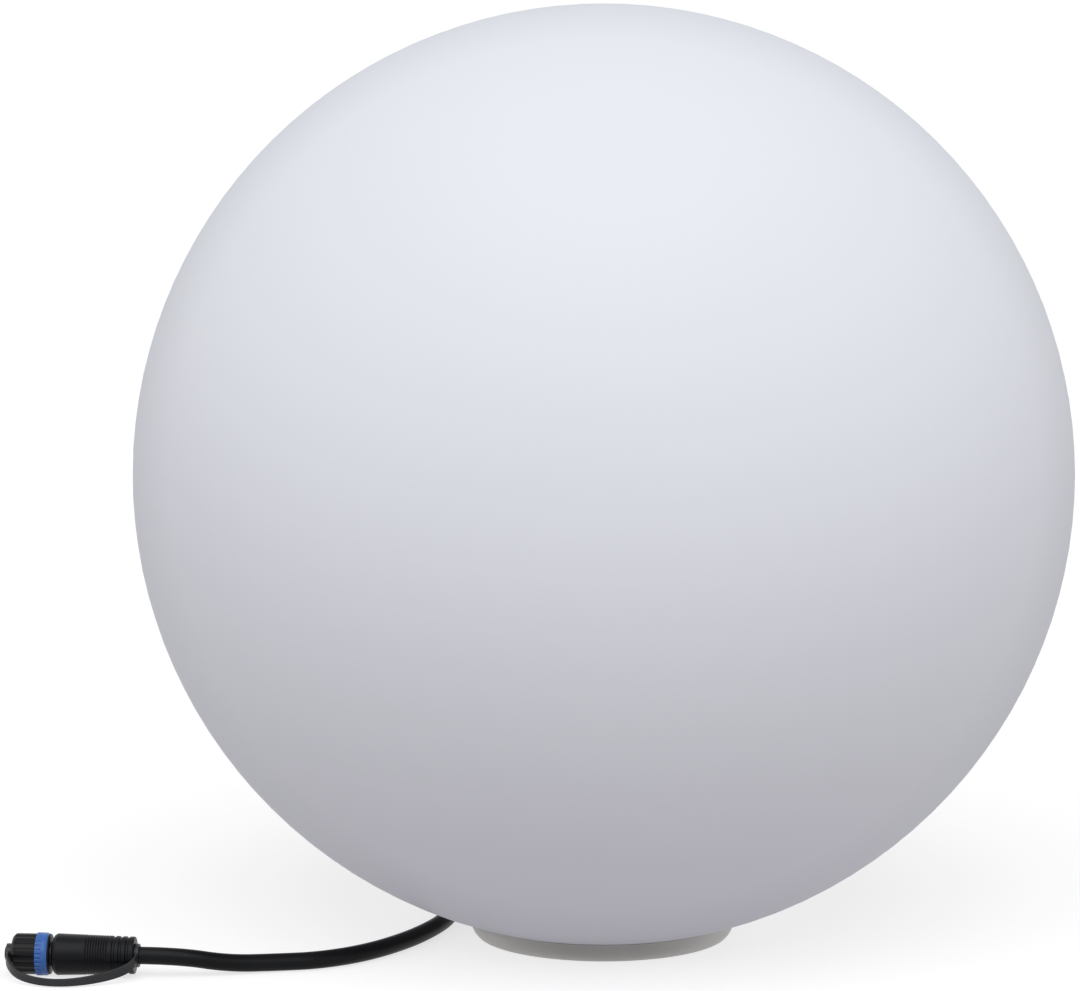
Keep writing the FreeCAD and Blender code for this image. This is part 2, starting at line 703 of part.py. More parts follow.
def supply_leads():
    """Two cores, from the end of the lead up to the driver's input terminal."""
    leave = gland_point(tail_start)
    cores = []
    for side in (-CORE_SPREAD, CORE_SPREAD):
        tilt = math.radians(GLAND_TILT_DEG)
        out = Vector(0, -math.cos(tilt), math.sin(tilt)) * CORE_OUT
        start = leave + AHEAD * side
        bend = start + out
        top = Vector(side, bend.y, CORE_TOP_Z)
        end = Vector(side, -input_terminal_y() - TOUCH_GAP - TERMINAL_DEPTH / 2, CORE_TOP_Z)
        points = [to_exit(point) for point in (start, bend, top, end)]
        cores.append(bent_tube("supply core", points, CORE_RADIUS))
    return Part.makeCompound(cores)


# ---------------------------------------------------------------- driver

def input_terminal_y():
    return board_radius - POST_RADIUS - TERMINAL_DEPTH - BOARD_HEAD_RADIUS


def driver_board():
    board = disc(board_radius, board_low, board_top)
    for place in post_places():
        board = board.cut(disc(BOARD_SCREW_RADIUS + SCREW_GAP, 0, POD_RIM_Z, place))
    return board


def terminal_block(middle_y):
    """Terminal block on the driver board, with two wire entries in its top."""
    block = Part.makeBox(TERMINAL_WIDTH, TERMINAL_DEPTH, TERMINAL_HEIGHT)
    block.translate(Vector(-TERMINAL_WIDTH / 2, middle_y - TERMINAL_DEPTH / 2, board_top))
    top = board_top + TERMINAL_HEIGHT
    for side in (-TERMINAL_ENTRY_SPREAD, TERMINAL_ENTRY_SPREAD):
        block = block.cut(disc(CORE_RADIUS, top - OVERSHOOT, top + OVERSHOOT, Vector(side, middle_y, 0)))
    return block


def input_terminal():
    return turned_to_exit(terminal_block(-input_terminal_y()))


def output_terminal():
    return turned_to_exit(terminal_block(0))


def driver_inductor():
    inductor = tube(INDUCTOR_RADIUS, INDUCTOR_BORE, board_top, board_top + INDUCTOR_HEIGHT)
    inductor = inductor.makeFillet(OVERSHOOT, [edge for edge in inductor.Edges
                                               if edge.BoundBox.ZMin > board_top + OVERSHOOT])
    return inductor.translated(polar(board_radius - INDUCTOR_INSET, EXIT_TURN_DEG))


def driver_capacitors():
    opposite = EXIT_TURN_DEG + 180.0
    circle = board_radius - CAPACITOR_INSET
    places = [polar(circle, opposite + side) for side in (-CAPACITOR_SIDE_DEG, CAPACITOR_SIDE_DEG)]
    return Part.makeCompound([disc(CAPACITOR_RADIUS, board_top, board_top + CAPACITOR_HEIGHT, place)
                              for place in places])


def pan_screw(shank_radius, head_radius, head_thickness, seat, length):
    """Pan-head screw whose head rests on the seat height."""
    bevel = head_thickness / 2
    top = seat + head_thickness
    outline = [(0, seat - length), (shank_radius, seat - length), (shank_radius, seat), (head_radius, seat),
               (head_radius, top - bevel), (head_radius - bevel, top), (0, top), (0, seat - length)]
    return spin_face(chain(outline))


def board_screws():
    screw = pan_screw(BOARD_SCREW_RADIUS, BOARD_HEAD_RADIUS, BOARD_HEAD_THICKNESS, board_top,
                      BOARD_SCREW_LENGTH)
    return Part.makeCompound([screw.translated(place) for place in post_places()])


# ---------------------------------------------------------------- heat sink, light board, inner dome

def pod_screw_low():
    return POD_RIM_Z - POD_BOSS_LENGTH + 2 * POD_WALL


def clamp_ring(low, high, inner=clamp_bore, outer=sink_radius):
    """Ring of the clamped stack on the housing's rim, with its screw holes."""
    ring = tube(outer, inner, low, high)
    for place in pod_screw_places():
        ring = ring.cut(disc(POD_SCREW_RADIUS + SCREW_GAP, low - OVERSHOOT, high + OVERSHOOT, place))
    return ring


def heat_sink():
    sink = disc(sink_radius, sink_low, sink_top)
    for step in range(FIN_COUNT):
        offset = (step - (FIN_COUNT - 1) / 2) * FIN_PITCH
        half_length = math.sqrt(fin_reach ** 2 - (abs(offset) + FIN_THICKNESS) ** 2)
        fin = Part.makeBox(FIN_THICKNESS, 2 * half_length, FIN_HEIGHT + OVERSHOOT)
        fin.translate(Vector(offset - FIN_THICKNESS / 2, -half_length, sink_low - FIN_HEIGHT))
        sink = sink.fuse(fin)
    below = sink_low - FIN_HEIGHT - OVERSHOOT
    above = sink_top + OVERSHOOT
    sink = sink.removeSplitter().cut(disc(WIRE_HOLE_RADIUS, below, above))
    for place in pod_screw_places():
        sink = sink.cut(disc(POD_SCREW_RADIUS + SCREW_GAP, below, above, place))
    for place in led_screw_places():
        sink = sink.cut(disc(BOARD_SCREW_RADIUS + SNUG_GAP, below, above, place))
    return sink


def led_screw_places():
    return [polar(led_screw_circle, angle) for angle in around(LED_SCREW_COUNT, LED_SCREW_FIRST_DEG)]


def led_board():
    board = tube(led_board_radius, WIRE_HOLE_RADIUS, sink_top, led_board_top)
    for place in led_screw_places():
        board = board.cut(disc(BOARD_SCREW_RADIUS + SCREW_GAP, sink_top, led_board_top + OVERSHOOT, place))
    return board


def led_chips():
    chips = []
    for circle, count in ((led_inner_circle, LED_INNER_COUNT), (led_outer_circle, LED_OUTER_COUNT)):
        for angle in around(count, LED_FIRST_DEG):
            chip = Part.makeBox(LED_SIZE, LED_SIZE, LED_THICKNESS)
            chip.translate(Vector(-LED_SIZE / 2, -LED_SIZE / 2, led_board_top))
            chip.rotate(ORIGIN, UP, angle)
            chips.append(chip.translated(polar(circle, angle)))
    return Part.makeCompound(chips)


def led_board_screws():
    length = BOARD_THICKNESS + SINK_THICKNESS
    screw = pan_screw(BOARD_SCREW_RADIUS, BOARD_HEAD_RADIUS, BOARD_HEAD_THICKNESS, led_board_top, length)
    return Part.makeCompound([screw.translated(place) for place in led_screw_places()])


def dome_cap(radius, height, base):
    """Spherical cap of the given base radius and height."""
    ball = (radius ** 2 + height ** 2) / (2 * height)
    centre_z = base + height - ball
    cap = Part.makeSphere(ball, UP * centre_z)
    return cap.common(disc(radius + OVERSHOOT, base, base + height + OVERSHOOT))


def light_dome():
    outer = dome_cap(dome_radius, DOME_HEIGHT, dome_flange_top)
    inner = dome_cap(dome_radius - DOME_WALL, DOME_HEIGHT - DOME_WALL, dome_flange_top)
    flange = clamp_ring(dome_low, dome_flange_top, dome_radius - DOME_WALL)
    return fused([outer.cut(inner), flange])


def dome_ring_screws():
    length = dome_ring_top - pod_screw_low()
    screw = pan_screw(POD_SCREW_RADIUS, POD_BOSS_RADIUS - POD_SCREW_RADIUS, BOARD_HEAD_THICKNESS,
                      dome_ring_top, length)
    return Part.makeCompound([screw.translated(place) for place in pod_screw_places()])


def lamp_leads():
    """Two wires, from the driver's output terminal up through the heat sink to the light board."""
    foot = board_top + TERMINAL_HEIGHT + TOUCH_GAP
    crest = led_board_top + LAMP_WIRE_HUMP
    wires = []
    for side in (-1, 1):
        near = side * LAMP_WIRE_SPREAD
        far = side * (LAMP_WIRE_SPREAD + LAMP_WIRE_REACH)
        points = [Vector(near, 0, foot), Vector(near, 0, crest), Vector(far, 0, crest),
                  Vector(far, 0, led_board_top + TOUCH_GAP)]
        wires.append(bent_tube("lamp wire", points, LAMP_WIRE_RADIUS))
    return Part.makeCompound(wires)


# ---------------------------------------------------------------- connector

def connector_placed(shape):
    shape.translate(AHEAD * -tail_end)
    shape.rotate(ORIGIN, UP, CONNECTOR_YAW_DEG)
    shape.translate(Vector(TAIL_END_X, TAIL_END_Y, axis_z))
    return shape


def rod(radius, start, end, sideways=0.0, height=0.0):
    """Cylinder along the connector's axis."""
    return Part.makeCylinder(radius, end - start, Vector(start, sideways, height), AHEAD)


def rounded_edges(solid, station, radius):
    """Fillet the circular edges that lie wholly at one station."""
    edges = [edge for edge in solid.Edges
             if abs(edge.BoundBox.XMin - station) < TOUCH_GAP
             and abs(edge.BoundBox.XMax - station) < TOUCH_GAP]
    widest = max(edges, key=lambda edge: edge.Length)
    return solid.makeFillet(radius, [widest])


def end_cap():
    """Fluted cap with its button for the strap's eye and its spigot for the coupling ring."""
    outline = [(0, 0), (0, BUTTON_HEAD_RADIUS), (BUTTON_HEAD_LENGTH, BUTTON_HEAD_RADIUS),
               (BUTTON_HEAD_LENGTH, BUTTON_PIN_RADIUS), (cap_start, BUTTON_PIN_RADIUS),
               (cap_start, CAP_RADIUS - CAP_BEVEL), (cap_start + CAP_BEVEL, CAP_RADIUS),
               (cap_end, CAP_RADIUS), (cap_end, spigot_radius), (spigot_end, spigot_radius),
               (spigot_end, spigot_bore), (cap_seal_start - SNUG_GAP, spigot_bore),
               (cap_seal_start - SNUG_GAP, 0)]
    cap = lathe(outline)
    cap = rounded_edges(cap, cap_start + CAP_BEVEL, CAP_BEVEL)
    flute_circle = CAP_RADIUS + FLUTE_RADIUS - FLUTE_DEPTH
    for angle in around(CAP_FLUTES):
        place = polar(flute_circle, angle)
        cap = cap.cut(rod(FLUTE_RADIUS, cap_start, cap_end + THREAD_GAP, place.x, place.y))
    return connector_placed(cap)


def cap_seal():
    seal = rod(spigot_bore - SNUG_GAP, cap_seal_start, cap_seal_start + CAP_SEAL_THICKNESS)
    return connector_placed(seal.cut(rod(CAP_SEAL_BORE, cap_seal_start - OVERSHOOT, nose_back)))


def coupling_ring():
    outline = [(ring_start, ring_bore), (ring_start, RING_RADIUS), (ring_end - RING_BEVEL, RING_RADIUS),
               (ring_end, RING_RADIUS - RING_BEVEL / 2), (ring_end, ring_bore)]
    ring = lathe(outline)
    knurl_circle = RING_RADIUS + KNURL_RADIUS - KNURL_DEPTH
    for angle in around(KNURL_COUNT):
        place = polar(knurl_circle, angle)
        groove = rod(KNURL_RADIUS, ring_start - OVERSHOOT, ring_start + KNURL_LENGTH, place.x, place.y)
        ring = ring.cut(groove)
    return connector_placed(ring)


def coupling_collar():
    bore = STEM_RADIUS + STEM_RUNNING_GAP
    outline = [(collar_start, bore), (collar_start, ring_bore - SNUG_GAP), (ring_end, ring_bore - SNUG_GAP),
               (ring_end, COLLAR_RADIUS), (collar_end, COLLAR_RADIUS), (collar_end, bore)]
    return connector_placed(rounded_edges(lathe(outline), collar_end, COLLAR_ROUND))


def connector_nose():
    """Hard insert: a socketed head inside the coupling ring, and the stem that the ring turns on."""
    stem_end = body_start + STEM_IN_BODY
    nose = fused([rod(NOSE_RADIUS, nose_front, nose_back), rod(STEM_RADIUS, nose_front, stem_end)])
    nose = nose.cut(rod(NOSE_RECESS_RADIUS, nose_front - OVERSHOOT, nose_front + NOSE_RECESS_DEPTH))
    groove = nose_front + NOSE_SEAL_SET_BACK
    floor_radius = NOSE_RADIUS - 2 * NOSE_SEAL_SECTION
    half_groove = NOSE_SEAL_SECTION + SNUG_GAP
    band = rod(NOSE_RADIUS + OVERSHOOT, groove - half_groove, groove + half_groove)
    nose = nose.cut(band.cut(rod(floor_radius, nose_front, nose_back)))
    for side in (-PIN_SPREAD, PIN_SPREAD):
        nose = nose.cut(rod(PIN_RADIUS + SNUG_GAP, nose_front, stem_end + OVERSHOOT, side))
    return connector_placed(nose)


def nose_seal():
    centre = Vector(nose_front + NOSE_SEAL_SET_BACK, 0, 0)
    middle = NOSE_RADIUS - NOSE_SEAL_SECTION + SNUG_GAP
    return connector_placed(Part.makeTorus(middle, NOSE_SEAL_SECTION, centre, AHEAD))


def contact_pins():
    start = nose_front + PIN_SET_BACK
    end = body_start + STEM_IN_BODY
    pins = []
    for side in (-PIN_SPREAD, PIN_SPREAD):
        pin = rod(PIN_RADIUS, start, end, side)
        pins.append(rounded_edges(pin, start, PIN_RADIUS / 2))
    return connector_placed(Part.makeCompound(pins))


def body_radius_at(station):
    share = (station - body_start) / BODY_LENGTH
    return BODY_FRONT_RADIUS + (BODY_REAR_RADIUS - BODY_FRONT_RADIUS) * share


def body_grooves():
    """Outline points of the fine grip grooves and of the broad ones behind them."""
    points = []
    for step in range(FINE_GROOVES):
        middle = body_start + FINE_START + step * FINE_PITCH
        for offset, depth in ((-FINE_PITCH / 3, 0), (0, FINE_DEPTH), (FINE_PITCH / 3, 0)):
            points.append((middle + offset, body_radius_at(middle + offset) - depth))
    for step in range(BROAD_GROOVES):
        middle = body_start + BROAD_START + step * BROAD_PITCH
        for offset, depth in ((-BROAD_WIDTH / 2, 0), (-BROAD_WIDTH / 4, BROAD_DEPTH),
                              (BROAD_WIDTH / 4, BROAD_DEPTH), (BROAD_WIDTH / 2, 0)):
            points.append((middle + offset, body_radius_at(middle + offset) - depth))
    return points


def connector_body():
    """Overmoulded body, bored for the stem, with a tail that the strap's ring sits on."""
    bore = STEM_RADIUS + SNUG_GAP
    stem_end = body_start + STEM_IN_BODY + SNUG_GAP
    shoulder = body_start + BODY_FRONT_SLOPE
    outline = [(stem_end, 0), (stem_end, bore), (body_start, bore), (shoulder, BODY_NOSE_RADIUS),
               (shoulder + BODY_FRONT_ROUND / 4, body_radius_at(shoulder) - BODY_FRONT_ROUND / 2),
               (shoulder + BODY_FRONT_ROUND, body_radius_at(shoulder + BODY_FRONT_ROUND))]
    outline += body_grooves()
    outline += [(body_end, BODY_REAR_RADIUS), (body_end, TAIL_RADIUS), (tail_end, TAIL_RADIUS), (tail_end, 0)]
    return connector_placed(rounded_edges(lathe(outline), body_end, BODY_REAR_ROUND))


# ---------------------------------------------------------------- strap

eye_middle = eye_start + EYE_THICKNESS / 2
strap_ring_start = body_end + STRAP_RING_GAP
strap_ring_middle = strap_ring_start + STRAP_RING_THICKNESS / 2


def strap_tab(radius, station):
    """Flat tab on the front of an eye or ring, where the band of the strap joins it."""
    reach = radius + STRAP_TAB_REACH
    tab = Part.makeBox(STRAP_THICKNESS, reach, STRAP_WIDTH)
    return tab.translated(Vector(station - STRAP_THICKNESS / 2, -reach, -STRAP_WIDTH / 2))


def cap_strap_eye():
    eye = rod(EYE_RADIUS, eye_start, eye_start + EYE_THICKNESS - TOUCH_GAP)
    eye = eye.fuse(strap_tab(EYE_RADIUS, eye_middle)).removeSplitter()
    bore = BUTTON_PIN_RADIUS + STEM_RUNNING_GAP
    return connector_placed(eye.cut(rod(bore, -OVERSHOOT, cap_start)))


def cap_strap_ring():
    ring = rod(STRAP_RING_RADIUS, strap_ring_start, strap_ring_start + STRAP_RING_THICKNESS)
    ring = ring.fuse(strap_tab(STRAP_RING_RADIUS, strap_ring_middle)).removeSplitter()
    return connector_placed(ring.cut(rod(TAIL_RADIUS + SNUG_GAP, body_end, tail_end + OVERSHOOT)))


def strap_stations():
    """Middle line of the band: station along the connector, distance in front, height above ground."""
    first = (eye_middle, -EYE_RADIUS - STRAP_TAB_REACH - TOUCH_GAP, axis_z)
    last = (strap_ring_middle, -STRAP_RING_RADIUS - STRAP_TAB_REACH - TOUCH_GAP, axis_z)
    droop = [(1.9, -8.0, 7.9), (4.4, -12.5, 5.6), (9.0, -17.2, 3.4), (19.0, -21.3, 2.35), (30.0, -21.5, 2.35),
             (40.0, -17.5, 2.8), (47.8, -13.5, 4.0), (53.0, -11.0, 6.0), (55.1, -8.5, 7.6)]
    return [first] + droop + [last]


def cap_strap():
    """Flat band on edge, lofted through upright sections along its drooping line."""
    stations = [Vector(x, y, z - axis_z) for x, y, z in strap_stations()]
    sections = []
    for index, middle in enumerate(stations):
        before = stations[max(index - 1, 0)]
        after = stations[min(index + 1, len(stations) - 1)]
        along = Vector(after.x - before.x, after.y - before.y, 0)
        if index in (0, len(stations) - 1):
            along = Vector(0, after.y - before.y, 0)
        along.normalize()
        across = UP.cross(along) * (STRAP_THICKNESS / 2)
        rise = UP * (STRAP_WIDTH / 2)
        corners = [middle - across - rise, middle + across - rise, middle + across + rise,
                   middle - across + rise]
        sections.append(Part.makePolygon(corners + corners[:1]))
    return connector_placed(Part.makeLoft(sections, True, False))


# ---------------------------------------------------------------- all pieces

def main():
    route = cable_route()
    save("globe_shell", globe_shell())
    save("globe_seal", globe_seal())
    save("base_ring", base_ring())
    save("foot_pads", foot_pads())
    save("ring_screws", ring_screws())
    save("base_body", base_body())
    save("fixing_inserts", fixing_inserts())
    save("pressure_vent", pressure_vent())
    save("gland_body", gland_body())
    save("gland_seal", gland_seal())
    save("gland_nut", gland_nut())
    save("gland_locknut", gland_locknut())
    save("cable_tail", cable_tail())
    save("supply_cable", bent_tube("supply_cable", route, cable_radius))
    save("supply_leads", supply_leads())
    save("driver_board", driver_board())
    save("driver_inductor", driver_inductor())
    save("driver_capacitors", driver_capacitors())
    save("input_terminal", input_terminal())
    save("output_terminal", output_terminal())
    save("board_screws", board_screws())
    save("lamp_leads", lamp_leads())
    save("pod_gasket", clamp_ring(POD_RIM_Z, sink_low))
    save("heat_sink", heat_sink())
    save("led_board", led_board())
    save("led_chips", led_chips())
    save("led_board_screws", led_board_screws())
    save("dome_seal", clamp_ring(sink_top, dome_low))
    save("light_dome", light_dome())
    save("dome_ring", clamp_ring(dome_flange_top, dome_ring_top, dome_radius + DOME_RING_GAP))
    save("dome_ring_screws", dome_ring_screws())
    save("connector_body", connector_body())
    save("connector_nose", connector_nose())
    save("contact_pins", contact_pins())
    save("nose_seal", nose_seal())
    save("coupling_ring", coupling_ring())
    save("coupling_collar", coupling_collar())
    save("end_cap", end_cap())
    save("cap_seal", cap_seal())
    save("cap_strap_eye", cap_strap_eye())
    save("cap_strap_ring", cap_strap_ring())
    save("cap_strap", cap_strap())
    print("cable route (mm):", [(round(p.x, 1), round(p.y, 1), round(p.z, 2)) for p in route])


main()
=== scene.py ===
"""A garden globe light: an opal globe on a satin foot ring, with its lead and screw connector."""

import json
import math

import bpy
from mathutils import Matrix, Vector


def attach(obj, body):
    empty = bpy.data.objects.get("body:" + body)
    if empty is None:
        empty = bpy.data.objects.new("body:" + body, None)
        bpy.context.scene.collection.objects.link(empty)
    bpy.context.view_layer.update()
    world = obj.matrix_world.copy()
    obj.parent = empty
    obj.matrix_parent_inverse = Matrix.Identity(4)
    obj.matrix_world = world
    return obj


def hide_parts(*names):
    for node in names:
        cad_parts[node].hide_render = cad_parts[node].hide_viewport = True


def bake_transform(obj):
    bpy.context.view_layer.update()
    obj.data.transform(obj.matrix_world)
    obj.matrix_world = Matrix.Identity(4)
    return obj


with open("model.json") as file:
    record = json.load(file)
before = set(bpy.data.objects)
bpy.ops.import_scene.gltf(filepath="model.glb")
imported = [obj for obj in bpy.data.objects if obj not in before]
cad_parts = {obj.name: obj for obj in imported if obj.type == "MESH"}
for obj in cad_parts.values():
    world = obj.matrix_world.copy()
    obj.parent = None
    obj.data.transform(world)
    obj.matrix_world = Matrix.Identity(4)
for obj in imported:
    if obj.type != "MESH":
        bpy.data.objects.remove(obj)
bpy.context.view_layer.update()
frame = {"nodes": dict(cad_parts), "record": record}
nodes = frame["nodes"]

MM = 0.001

# ---------------------------------------------------------------- camera

GLOBE_MIDDLE_HEIGHT = 200 * MM
VIEW_DISTANCE = 1850 * MM
VIEW_RISE_DEG = 7.3
VIEW_TILT_DEG = 7.576
VIEW_TURN_DEG = 0.841
LENS = 144.43
SENSOR_WIDTH = 36.0

# ---------------------------------------------------------------- lead and its strain relief

LEAD_RADIUS = 3.7 * MM
LEAD_ROUTE_MM = [
    (-4.1, -9.9, 15.88), (8.7, 20.9, 3.75), (22.9, 55.3, 3.75), (17.6, 81.9, 3.75), (-2.1, 100.3, 3.75),
    (-28.9, 103.6, 3.75), (-52.5, 90.5, 3.75), (-63.9, 66.0, 3.75), (-63.9, 41.1, 3.75), (-66.6, 15.5, 3.75),
    (-71.8, -5.5, 3.75), (-83.0, -30.5, 3.75), (-99.5, -53.5, 3.75), (-118.0, -66.8, 3.75),
    (-135.0, -70.5, 3.75), (-155.4, -76.7, 4.6), (-175.2, -81.9, 8.95), (-191.7, -81.0, 8.95),
]
RELIEF_LENGTH = 22 * MM
RELIEF_ROOT_RADIUS = 6.2 * MM
RELIEF_END_RADIUS = 4.4 * MM
RELIEF_RIB_PITCH = 2.4 * MM
RELIEF_RIB_DEPTH = 0.45 * MM
RELIEF_STEP = 0.4 * MM
LEAD_SMOOTHNESS = 16
LEAD_ROUNDNESS = 6
RELIEF_ROUNDNESS = 8
RELIEF_CREASE = math.radians(35)

# ---------------------------------------------------------------- connector and strap

TAIL_END = Vector((-191.7, -81.0, 8.95)) * MM
TAIL_STATION = 56.3
CONNECTOR_YAW = math.radians(-3.0)
STRAP_WIDTH = 4.2 * MM
STRAP_THICKNESS = 1.2 * MM
STRAP_EDGE_ROUND = 0.3 * MM
STRAP_ROUND_STEPS = 2
STRAP_SMOOTH_LEVELS = 2
STRAP_SHARP_EDGE = math.radians(50)
STRAP_MERGE = 0.01 * MM
STRAP_LINE_MM = [
    (1.75, -4.5, 8.95), (1.75, -6.2, 8.7), (2.0, -8.2, 7.8), (4.4, -12.5, 5.4), (9.0, -17.2, 3.2),
    (19.0, -21.3, 2.05), (30.0, -21.5, 2.1), (40.0, -17.5, 2.75), (47.8, -13.5, 4.1), (53.0, -11.0, 6.0),
    (55.0, -8.5, 7.7), (55.3, -6.6, 8.6), (55.3, -5.0, 8.95),
]
STRAP_WIDTH_SHARE = (1, 1, 0.95, 0.88, 0.8, 0.76, 0.78, 0.88, 0.98, 1, 1, 1, 1)


def connector_point(station, sideways, height):
    """Point of the connector's own frame, given in millimetres, at the ground's height."""
    along = (station - TAIL_STATION) * MM
    aside = sideways * MM
    turned = Vector((math.cos(CONNECTOR_YAW) * along - math.sin(CONNECTOR_YAW) * aside,
                     math.sin(CONNECTOR_YAW) * along + math.cos(CONNECTOR_YAW) * aside, 0))
    return Vector((TAIL_END.x, TAIL_END.y, height * MM)) + turned


def deselect():
    """Leaves nothing selected, so that an operator acts on the new piece alone."""
    bpy.ops.object.select_all(action="DESELECT")


def take_up(obj):
    """Makes a piece the only selected and the active one."""
    deselect()
    obj.select_set(True)
    bpy.context.view_layer.objects.active = obj


def apply_all(obj):
    """Applies every modifier of a piece, in order."""
    take_up(obj)
    for modifier in list(obj.modifiers):
        bpy.ops.object.modifier_apply(modifier=modifier.name)


# ---------------------------------------------------------------- material tools

def node_in(tree, kind, **settings):
    """New shader node with its settings."""
    node = tree.nodes.new(kind)
    for name, value in settings.items():
        setattr(node, name, value)
    return node


def new_group(name, numbers, colours=(), outputs=()):
    """Shader node group with named number and colour inputs and named outputs."""
    group = bpy.data.node_groups.new(name, "ShaderNodeTree")
    for label, value in numbers:
        socket = group.interface.new_socket(name=label, in_out="INPUT", socket_type="NodeSocketFloat")
        socket.default_value = value
    for label, value in colours:
        socket = group.interface.new_socket(name=label, in_out="INPUT", socket_type="NodeSocketColor")
        socket.default_value = (*value, 1)
    for label, kind in outputs:
        group.interface.new_socket(name=label, in_out="OUTPUT", socket_type=kind)
    entry = group.nodes.new("NodeGroupInput")
    leave = group.nodes.new("NodeGroupOutput")
    return group, entry, leave


def mixed(tree, factor, low, high):
    """Colour mix whose ends are a socket or a plain colour."""
    mix = node_in(tree, "ShaderNodeMix", data_type="RGBA")
    tree.links.new(factor, mix.inputs["Factor"])
    for value, socket in ((low, mix.inputs[6]), (high, mix.inputs[7])):
        if isinstance(value, bpy.types.NodeSocket):
            tree.links.new(value, socket)
        else:
            socket.default_value = (*value, 1)
    return mix.outputs[2]


def spread(tree, value, low, high, to_low, to_high):
    """Value stretched from one range of numbers to another."""
    stretch = node_in(tree, "ShaderNodeMapRange")
    for socket, number in zip(list(stretch.inputs)[1:5], (low, high, to_low, to_high)):
        socket.default_value = number
    tree.links.new(value, stretch.inputs["Value"])
    return stretch.outputs["Result"]


def noise(tree, coordinates, scale, detail=3.0):
    """Noise whose scale is a number or a socket."""
    made = node_in(tree, "ShaderNodeTexNoise")
    made.inputs["Detail"].default_value = detail
    tree.links.new(coordinates, made.inputs["Vector"])
    if isinstance(scale, bpy.types.NodeSocket):
        tree.links.new(scale, made.inputs["Scale"])
    else:
        made.inputs["Scale"].default_value = scale
    return made.outputs["Fac"]


def moulded_surface():
    """Fine moulded grain, broad cloudiness and a few specks, as moulded plastic and rubber have."""
    group, entry, leave = new_group(
        "moulded_surface", [("Grain Scale", 1500.0), ("Cloud Scale", 14.0), ("Contrast", 0.5)], (),
        [("Height", "NodeSocketFloat"), ("Cloud", "NodeSocketFloat"), ("Specks", "NodeSocketFloat")])
    place = group.nodes.new("ShaderNodeTexCoord").outputs["Object"]
    grain = noise(group, place, entry.outputs["Grain Scale"], 2.0)
    cloud = noise(group, place, entry.outputs["Cloud Scale"], 4.0)
    group.links.new(grain, leave.inputs["Height"])
    centred = spread(group, cloud, 0.3, 0.7, -0.5, 0.5)
    scaled = node_in(group, "ShaderNodeMath", operation="MULTIPLY_ADD")
    group.links.new(centred, scaled.inputs[0])
    group.links.new(entry.outputs["Contrast"], scaled.inputs[1])
    scaled.inputs[2].default_value = 0.5
    group.links.new(scaled.outputs[0], leave.inputs["Cloud"])
    fleck = noise(group, place, 420.0, 1.0)
    group.links.new(spread(group, fleck, 0.70, 0.78, 0.0, 1.0), leave.inputs["Specks"])
    return group


def turned_lines():
    """Fine lines round the upright axis, as spinning or turning leaves them on a round piece."""
    group, entry, leave = new_group(
        "turned_lines", [("Line Scale", 2500.0), ("Smear Scale", 30.0)], (),
        [("Height", "NodeSocketFloat"), ("Smear", "NodeSocketFloat")])
    place = group.nodes.new("ShaderNodeTexCoord").outputs["Object"]
    parts = group.nodes.new("ShaderNodeSeparateXYZ")
    group.links.new(place, parts.inputs["Vector"])
    flat = node_in(group, "ShaderNodeCombineXYZ")
    group.links.new(parts.outputs["X"], flat.inputs["X"])
    group.links.new(parts.outputs["Y"], flat.inputs["Y"])
    reach = node_in(group, "ShaderNodeVectorMath", operation="LENGTH")
    group.links.new(flat.outputs["Vector"], reach.inputs[0])
    line = node_in(group, "ShaderNodeCombineXYZ")
    group.links.new(reach.outputs["Value"], line.inputs["X"])
    group.links.new(parts.outputs["Z"], line.inputs["Z"])
    fine = noise(group, line.outputs["Vector"], entry.outputs["Line Scale"], 2.0)
    group.links.new(fine, leave.inputs["Height"])
    smear = noise(group, place, entry.outputs["Smear Scale"], 3.0)
    group.links.new(smear, leave.inputs["Smear"])
    return group


MOULDED = moulded_surface()
TURNED = turned_lines()


def blank_material(name):
    """Material with a Principled shader and nothing else."""
    material = bpy.data.materials.new(name)
    material.use_nodes = True
    tree = material.node_tree
    shader = next(n for n in tree.nodes if n.type == "BSDF_PRINCIPLED")
    return material, tree, shader


def group_in(tree, group, **numbers):
    """A shader group placed in a material, with this material's own numbers."""
    placed = node_in(tree, "ShaderNodeGroup", node_tree=group)
    for label, value in numbers.items():
        placed.inputs[label.replace("_", " ")].default_value = value
    return placed


def bumped(tree, shader, height, depth, distance=0.1 * MM):
    """Fine relief of the skin, from a height."""
    bump = node_in(tree, "ShaderNodeBump")
    bump.inputs["Strength"].default_value = depth
    bump.inputs["Distance"].default_value = distance
    tree.links.new(height, bump.inputs["Height"])
    tree.links.new(bump.outputs["Normal"], shader.inputs["Normal"])
    return bump


def plastic(name, dark, light, rough, grain=1500.0, depth=0.25, cloud=14.0, gloss=0.5):
    """Moulded plastic or rubber: two near colours in soft clouds, fine grain and uneven gloss."""
    material, tree, shader = blank_material(name)
    surface = group_in(tree, MOULDED, Grain_Scale=grain, Cloud_Scale=cloud, Contrast=1.0)
    colour = mixed(tree, surface.outputs["Cloud"], dark, light)
    tree.links.new(colour, shader.inputs["Base Color"])
    tree.links.new(spread(tree, surface.outputs["Cloud"], 0, 1, rough - 0.05, rough + 0.05),
                   shader.inputs["Roughness"])
    shader.inputs["Specular IOR Level"].default_value = gloss
    bumped(tree, shader, surface.outputs["Height"], depth)
    return material


def painted_facing_shading(tree, start, end, square_on, edge_on):
    """Painted light and shade: colour that goes over to another as the surface turns away from the eye."""
    facing = node_in(tree, "ShaderNodeLayerWeight")
    facing.inputs["Blend"].default_value = 0.5
    return mixed(tree, spread(tree, facing.outputs["Facing"], start, end, 0, 1), square_on, edge_on)


